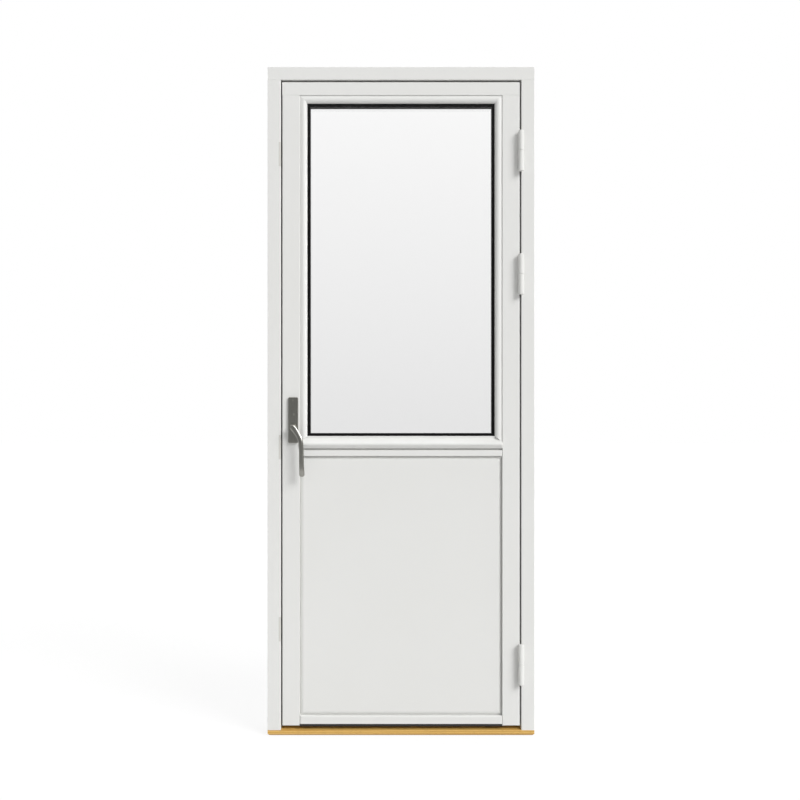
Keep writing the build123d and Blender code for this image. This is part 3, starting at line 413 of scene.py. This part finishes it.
for name, node in nodes.items():
    slot = slotOf[name]
    if slot == "white_painted_wood":
        finish = levelPaint if name in levelWood else uprightPaint
    else:
        finish = finishes[slot]
    node.material_slots[0].material = finish
print("materials set:", len(bpy.data.materials))


# Pieces whose form is finer than the solids

smoothBelow = 38.0          # degrees between faces that still shade as one surface


def newPiece(name, bm, body, slot, *replaced):
    bmesh.ops.recalc_face_normals(bm, faces=bm.faces)
    for face in bm.faces:
        face.smooth = True
    mesh = bpy.data.meshes.new(name)
    bm.to_mesh(mesh)
    bm.free()
    mesh.set_sharp_from_angle(angle=math.radians(smoothBelow))
    mesh.materials.append(finishes[slot])
    piece = bpy.data.objects.new(name, mesh)
    scene.collection.objects.link(piece)
    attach(piece, body)
    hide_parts(*replaced)
    return piece


def joinRings(bm, rings):
    # a closed skin over rings of vertices
    for one, other in zip(rings, rings[1:]):
        for k in range(len(one)):
            near = (k + 1) % len(one)
            bm.faces.new((one[k], one[near], other[near], other[k]))
    bm.faces.new(rings[0])
    bm.faces.new(reversed(rings[-1]))


# A lever is one casting: a turned hub, a cranked neck that rises from it towards the hand, and a grip with
# a waist, whose rounded tip turns out a little. The inner one mirrors the outer one about the lock.
lever = {
    # middle line in x and z, half the width, front and back, all in mm
    "sections": (
        (-319.0, 913.0, 8.6, -84.4, -79.0),
        (-312.0, 904.6, 8.0, -85.2, -79.2),
        (-304.6, 894.0, 7.5, -87.2, -79.9),
        (-298.2, 883.4, 7.2, -89.3, -80.8),
        (-294.4, 872.0, 7.1, -90.8, -81.7),
        (-293.0, 859.0, 7.0, -91.2, -82.0),
        (-292.2, 836.0, 6.9, -91.2, -82.0),
        (-291.7, 806.0, 7.1, -91.2, -82.0),
        (-291.2, 788.0, 7.6, -90.5, -81.6),
        (-290.9, 775.4, 7.9, -88.2, -80.6),
    ),
    "squareness": 2.3,          # 2 is an ellipse, more is squarer
    "around": 32,
    "between": 8,               # rings from one section to the next
    "endRings": 7,
    "endTurn": 89.0,            # degrees, how far round an end is closed before its last flat
    "endThinning": 0.6,         # power by which an end gets thinner as it gets narrower
    # radius and depth of the turned hub, from the journal in the plate to the inside of the neck
    "hub": ((7.6, -56.7), (7.6, -62.75), (9.6, -62.75), (9.95, -63.1), (9.95, -64.6), (9.5, -65.4),
            (8.9, -67.0), (8.5, -70.0), (8.4, -75.0), (8.5, -79.0), (8.5, -83.0)),
    "mirror": -26.5,            # y of the lock's middle plane
}


def blended(before, start, end, after, t):
    # a smooth curve through the four values
    return tuple(0.5 * (2 * b + (c - a) * t + (2 * a - 5 * b + 4 * c - d) * t * t
                        + (3 * b - a - 3 * c + d) * t ** 3)
                 for a, b, c, d in zip(before, start, end, after))


def leverRings():
    # the sections, the smooth ones between them and the rounded ends, each with its direction
    given = lever["sections"]
    rows = []
    for k in range(len(given) - 1):
        before = given[max(k - 1, 0)]
        after = given[min(k + 2, len(given) - 1)]
        for step in range(lever["between"]):
            rows.append(blended(before, given[k], given[k + 1], after, step / lever["between"]))
    rows.append(given[-1])
    directions = []
    for k in range(len(rows)):
        ahead, behind = rows[min(k + 1, len(rows) - 1)], rows[max(k - 1, 0)]
        directions.append(Vector((ahead[0] - behind[0], ahead[1] - behind[1])).normalized())
    ends = []
    for sign, index in ((-1, 0), (1, len(rows) - 1)):
        x, z, half, front, back = rows[index]
        along = directions[index]
        end = []
        for k in range(1, lever["endRings"] + 1):
            turn = math.radians(lever["endTurn"] * k / lever["endRings"])
            reach, share = half * math.sin(turn), math.cos(turn)
            thinner = (back - front) / 2 * (1 - share ** lever["endThinning"])
            end.append((x + sign * reach * along.x, z + sign * reach * along.y, half * share,
                        front + thinner, back - thinner, along))
        ends.append(end)
    middle = [(*row, along) for row, along in zip(rows, directions)]
    return ends[0][::-1] + middle + ends[1]


def buildLever(name, mirrored):
    def place(x, y, z):
        depth = 2 * lever["mirror"] - y if mirrored else y
        return (metres(x), metres(depth), metres(z))

    bm = bmesh.new()
    count, power = lever["around"], 2 / lever["squareness"]
    rings = []
    for x, z, half, front, back, along in leverRings():
        ring = []
        for k in range(count):
            c, s = math.cos(math.tau * k / count), math.sin(math.tau * k / count)
            across = half * math.copysign(abs(c) ** power, c)
            depth = (front + back) / 2 + (back - front) / 2 * math.copysign(abs(s) ** power, s)
            ring.append(bm.verts.new(place(x + across * along.y, depth, z - across * along.x)))
        rings.append(ring)
    joinRings(bm, rings)
    pivotX, pivotZ = lever["sections"][0][:2]
    hub = []
    for radius, depth in lever["hub"]:
        hub.append([bm.verts.new(place(pivotX + radius * math.cos(math.tau * k / count), depth,
                                       pivotZ + radius * math.sin(math.tau * k / count)))
                    for k in range(count)])
    joinRings(bm, hub)
    side = name.split("_")[0]
    return newPiece(name, bm, "handle", "satin_nickel", "lever_" + side)


buildLever("outside_cast_lever", False)
buildLever("inside_cast_lever", True)
print("levers built")


# Countersunk screws with a cross recess. Their places, lengths and heads come from the solids, and each is
# driven home at an angle of its own.
screw = {
    "around": 24,
    "apart": 3.0,               # mm, two screws stand further apart than this in height
    "level": 0.01,              # mm, within which points lie on one end
    "headFrom": 1.08,           # times the shank's radius
    "armWidth": 0.13,           # of the cross, as a share of the head's radius
    "armLength": 0.56,
    "recess": 0.55,             # share of the head's depth
    "taper": 0.55,              # size of the recess at its floor
    "rimFall": 0.15,            # mm, eased edge of the head
    "foot": 0.6,                # size of the shank's end
    "turn": 37.0,               # degrees from one screw to the next
}


def screwPlaces(node):
    # each screw of a node lies level, so its points part from the next one's by height
    points = sorted((vertex.co for vertex in node.data.vertices), key=lambda point: point.z)
    groups = [[points[0]]]
    for point in points[1:]:
        if point.z - groups[-1][-1].z > metres(screw["apart"]):
            groups.append([])
        groups[-1].append(point)
    places = []
    for group in groups:
        low = [min(point[i] for point in group) for i in range(3)]
        high = [max(point[i] for point in group) for i in range(3)]
        middle = Vector([(a + b) / 2 for a, b in zip(low, high)])
        sizes = [b - a for a, b in zip(low, high)]
        axis = sizes.index(max(sizes))

        def radius(point):
            away = point - middle
            away[axis] = 0
            return away.length

        ends = {}
        for value in (low[axis], high[axis]):
            ends[value] = max(radius(point) for point in group
                              if abs(point[axis] - value) < metres(screw["level"]))
        head = max(ends, key=ends.get)
        foot = min(ends, key=ends.get)
        wide = [abs(point[axis] - head) for point in group if radius(point) > ends[foot] * screw["headFrom"]]
        top = middle.copy()
        top[axis] = head
        out = Vector((0, 0, 0))
        out[axis] = 1 if head > foot else -1
        places.append({"top": top, "out": out, "head": ends[head], "shank": ends[foot],
                       "length": abs(head - foot), "depth": max(wide)})
    return places


def buildScrews(name, body, slot):
    node = nodes[name]
    bm = bmesh.new()
    count = screw["around"]
    for index, place in enumerate(screwPlaces(node)):
        turned = place["out"].to_track_quat("Z", "Y").to_matrix() @ Matrix.Rotation(
            math.radians(screw["turn"] * index), 3, "Z")

        def at(x, y, z):
            return bm.verts.new(place["top"] + turned @ Vector((x, y, z)))

        fall = metres(screw["rimFall"])
        head, shank = place["head"], place["shank"]
        rings = []
        for radius, z in ((head - fall, 0), (head, -fall), (shank, -place["depth"]),
                          (shank, -place["length"] + fall), (shank * screw["foot"], -place["length"])):
            turns = [math.tau * k / count for k in range(count)]
            rings.append([at(radius * math.cos(turn), radius * math.sin(turn), z) for turn in turns])
        for one, other in zip(rings, rings[1:]):
            for k in range(count):
                near = (k + 1) % count
                bm.faces.new((one[k], other[k], other[near], one[near]))
        bm.faces.new(reversed(rings[-1]))
        half, arm = head * screw["armWidth"], head * screw["armLength"]
        cross = [(half, half), (half, arm), (-half, arm), (-half, half), (-arm, half), (-arm, -half),
                 (-half, -half), (-half, -arm), (half, -arm), (half, -half), (arm, -half), (arm, half)]
        corners = len(cross)
        edge = [at(x, y, 0) for x, y in cross]
        share, low = screw["taper"], -place["depth"] * screw["recess"]
        floor = [at(x * share, y * share, low) for x, y in cross]
        outline = [bm.edges.new((edge[k], edge[(k + 1) % corners])) for k in range(corners)]
        rim = [bm.edges.get((rings[0][k], rings[0][(k + 1) % count])) for k in range(count)]
        bmesh.ops.triangle_fill(bm, use_beauty=True, edges=outline + rim)
        for k in range(corners):
            near = (k + 1) % corners
            bm.faces.new((edge[k], edge[near], floor[near], floor[k]))
        bm.faces.new(floor)
    return newPiece(name + "_recessed", bm, body, slot, name)


for name, body, slot in (("strike_screws", "frame", "zinc_plated_steel"),
                         ("hinge_frame_screws", "frame", "zinc_plated_steel"),
                         ("hinge_leaf_screws", "leaf", "zinc_plated_steel"),
                         ("faceplate_screws", "leaf", "zinc_plated_steel"),
                         ("handle_plate_screws", "leaf", "satin_nickel")):
    buildScrews(name, body, slot)
print("screws built")


# The frame seal, a soft bulb on a foot that is stuck to the stop, mitred at the corners
seal = {
    # mm from the seal's outer edge inwards, and its depth as a share from the foot to the crest
    "profile": ((0.0, 0.0), (0.0, 0.22), (0.9, 0.3), (1.5, 0.62), (2.3, 0.88), (3.5, 1.0), (4.7, 0.9),
                (5.4, 0.62), (5.9, 0.3), (6.6, 0.2), (7.0, 0.1), (7.0, 0.0)),
}


def buildSeal():
    low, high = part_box("frame_seal")
    bm = bmesh.new()
    rings = []
    for inwards, share in seal["profile"]:
        inset = metres(inwards)
        y = high[1] + (low[1] - high[1]) * share
        left, right, bottom, top = low[0] + inset, high[0] - inset, low[2] + inset, high[2] - inset
        rings.append([bm.verts.new(corner) for corner in
                      ((left, y, bottom), (right, y, bottom), (right, y, top), (left, y, top))])
    for k in range(len(rings)):
        one, other = rings[k], rings[(k + 1) % len(rings)]
        for side in range(4):
            near = (side + 1) % 4
            bm.faces.new((one[side], one[near], other[near], other[side]))
    return newPiece("bulb_frame_seal", bm, "frame", "grey_rubber", "frame_seal")


buildSeal()
print("seal built")


# The studio: a pale floor, one wide soft key from the upper right, a plain pale world

studio = {
    "cameraAt": (-0.0029, -3.0575, 0.9937),
    "lens": 45.59,              # 800 pixels span 2.369 m at the face of the leaf
    "sensor": 36.0,
    "keyTowards": (0.605, -0.557, 0.573),
    "keyEnergy": 2.6,
    "keyAngle": 28.0,           # degrees across, a softbox at some distance
    "fillFront": 0.375,
    "fillBack": 1.0,
    "fillSpan": (-0.3, 0.5),    # the direction's y between which the fill grows
    "sideBlend": 0.3,           # its y up to which front and back blend
    "roomLow": 0.2,             # what metal and glass reflect at eye level in front of the leaf
    "roomHigh": 1.0,
    "roomSpan": (0.15, 0.65),   # the direction's height between which that grows
    "backLow": 0.81,            # what they show behind the leaf at eye level
    "backHigh": 0.97,
    "backSpan": (-0.03, 0.276),
    "floorWidth": 40.0,
    "floorDrop": 0.5,           # mm under the threshold
    "floorNear": 1.5,           # m, up to here reflections show the floor as it is
    "floorFar": 9.0,            # m, from here on they show it like the studio
    "floorAlbedo": 0.7,
    "floorShown": 0.14,         # share of the floor's look that takes light and shadow
}


def frontToBack(tree, depth, front, back):
    # one value in front of the leaf and another behind it, blended round the sides
    return addNode(tree, "ShaderNodeMapRange", {"interpolation_type": "SMOOTHSTEP"}, Value=depth,
                   From_Min=-studio["sideBlend"], From_Max=studio["sideBlend"], To_Min=front, To_Max=back)


def buildWorld():
    world = bpy.data.worlds.new("paleStudio")
    scene.world = world
    world.use_nodes = True
    tree = world.node_tree
    tree.nodes.clear()
    towards = addNode(tree, "ShaderNodeTexCoord").outputs["Generated"]
    axes = addNode(tree, "ShaderNodeSeparateXYZ", Vector=towards)
    depth, height = axes.outputs["Y"], axes.outputs["Z"]
    path = addNode(tree, "ShaderNodeLightPath")
    behind = frontToBack(tree, depth, 0.0, 1.0)
    # what is seen through the glass is pale on both sides of the door
    pale = addNode(tree, "ShaderNodeMath", {"operation": "MAXIMUM"}, _0=behind.outputs["Result"],
                   _1=path.outputs["Is Transmission Ray"])
    room = addNode(tree, "ShaderNodeMapRange", {"interpolation_type": "SMOOTHSTEP"}, Value=height,
                   From_Min=studio["roomSpan"][0], From_Max=studio["roomSpan"][1],
                   To_Min=studio["roomLow"], To_Max=studio["roomHigh"])
    back = addNode(tree, "ShaderNodeMapRange", Value=height, From_Min=studio["backSpan"][0],
                   From_Max=studio["backSpan"][1], To_Min=studio["backLow"], To_Max=studio["backHigh"])
    shown = addNode(tree, "ShaderNodeMix", _0=pale.outputs[0], _2=room.outputs["Result"],
                    _3=back.outputs["Result"])
    fill = addNode(tree, "ShaderNodeMapRange", Value=depth, From_Min=studio["fillSpan"][0],
                   From_Max=studio["fillSpan"][1], To_Min=studio["fillFront"], To_Max=studio["fillBack"])
    gloss = addNode(tree, "ShaderNodeMath", {"operation": "MAXIMUM"}, _0=path.outputs["Is Glossy Ray"],
                    _1=path.outputs["Is Transmission Ray"])
    lit = addNode(tree, "ShaderNodeMix", _0=gloss.outputs[0], _2=fill.outputs["Result"], _3=shown.outputs[0])
    seen = addNode(tree, "ShaderNodeMix", _0=path.outputs["Is Camera Ray"], _2=lit.outputs[0], _3=1.0)
    light = addNode(tree, "ShaderNodeBackground", Color=(1, 1, 1, 1), Strength=seen.outputs[0])
    addNode(tree, "ShaderNodeOutputWorld", Surface=light.outputs[0])


def buildFloor():
    half = studio["floorWidth"] / 2
    mesh = bpy.data.meshes.new("floor")
    bm = bmesh.new()
    bmesh.ops.create_grid(bm, x_segments=8, y_segments=8, size=half)
    bm.to_mesh(mesh)
    bm.free()
    floor = bpy.data.objects.new("floor", mesh)
    scene.collection.objects.link(floor)
    floor.location.z = -metres(studio["floorDrop"])
    material, tree = newMaterial("paleFloor")
    path = addNode(tree, "ShaderNodeLightPath")
    looks = addNode(tree, "ShaderNodeMath", {"operation": "MAXIMUM"}, _0=path.outputs["Is Camera Ray"],
                    _1=path.outputs["Is Glossy Ray"])
    looks = addNode(tree, "ShaderNodeMath", {"operation": "MAXIMUM"}, _0=looks.outputs[0],
                    _1=path.outputs["Is Transmission Ray"])
    share = studio["floorShown"]
    # with distance the floor's reflection takes on the studio's tone, so that no horizon shows
    here = addNode(tree, "ShaderNodeTexCoord").outputs["Object"]
    distance = addNode(tree, "ShaderNodeVectorMath", {"operation": "LENGTH"}, _0=here).outputs["Value"]
    direction = addNode(tree, "ShaderNodeVectorMath", {"operation": "NORMALIZE"}, _0=here).outputs["Vector"]
    depth = addNode(tree, "ShaderNodeSeparateXYZ", Vector=direction).outputs["Y"]
    far = frontToBack(tree, depth, studio["roomLow"], studio["backLow"])
    fade = addNode(tree, "ShaderNodeMapRange", {"interpolation_type": "SMOOTHSTEP"}, Value=distance,
                   From_Min=studio["floorNear"], From_Max=studio["floorFar"])
    mirrored = addNode(tree, "ShaderNodeMix", _0=fade.outputs["Result"], _2=1.0, _3=far.outputs["Result"])
    through = addNode(tree, "ShaderNodeMix", _0=path.outputs["Is Transmission Ray"],
                      _2=mirrored.outputs[0], _3=studio["backLow"])
    tone = addNode(tree, "ShaderNodeMix", _0=path.outputs["Is Camera Ray"], _2=through.outputs[0], _3=1.0)
    strength = addNode(tree, "ShaderNodeMath", {"operation": "SUBTRACT"}, _0=tone.outputs[0], _1=share)
    glow = addNode(tree, "ShaderNodeEmission", Color=(1, 1, 1, 1), Strength=strength.outputs[0])
    paper = addNode(tree, "ShaderNodeBsdfDiffuse", Color=(share, share, share, 1))
    shown = addNode(tree, "ShaderNodeAddShader", _0=glow.outputs[0], _1=paper.outputs[0])
    albedo = studio["floorAlbedo"]
    plain = addNode(tree, "ShaderNodeBsdfDiffuse", Color=(albedo, albedo, albedo, 1))
    shader = addNode(tree, "ShaderNodeMixShader", _0=looks.outputs[0], _1=plain.outputs[0],
                     _2=shown.outputs[0])
    finishMaterial(tree, shader.outputs[0])
    floor.data.materials.append(material)


def buildKey():
    data = bpy.data.lights.new("softKey", "SUN")
    data.energy = studio["keyEnergy"]
    data.angle = math.radians(studio["keyAngle"])
    key = bpy.data.objects.new("softKey", data)
    scene.collection.objects.link(key)
    key.rotation_euler = Vector(studio["keyTowards"]).to_track_quat("Z", "Y").to_euler()


def buildCamera():
    data = bpy.data.cameras.new("camera")
    data.lens = studio["lens"]
    data.sensor_width = studio["sensor"]
    camera = bpy.data.objects.new("camera", data)
    scene.collection.objects.link(camera)
    camera.location = studio["cameraAt"]
    camera.rotation_euler = (math.radians(90), 0, 0)
    scene.camera = camera


buildWorld()
buildFloor()
buildKey()
buildCamera()
scene.view_settings.view_transform = "Standard"
print("studio built")
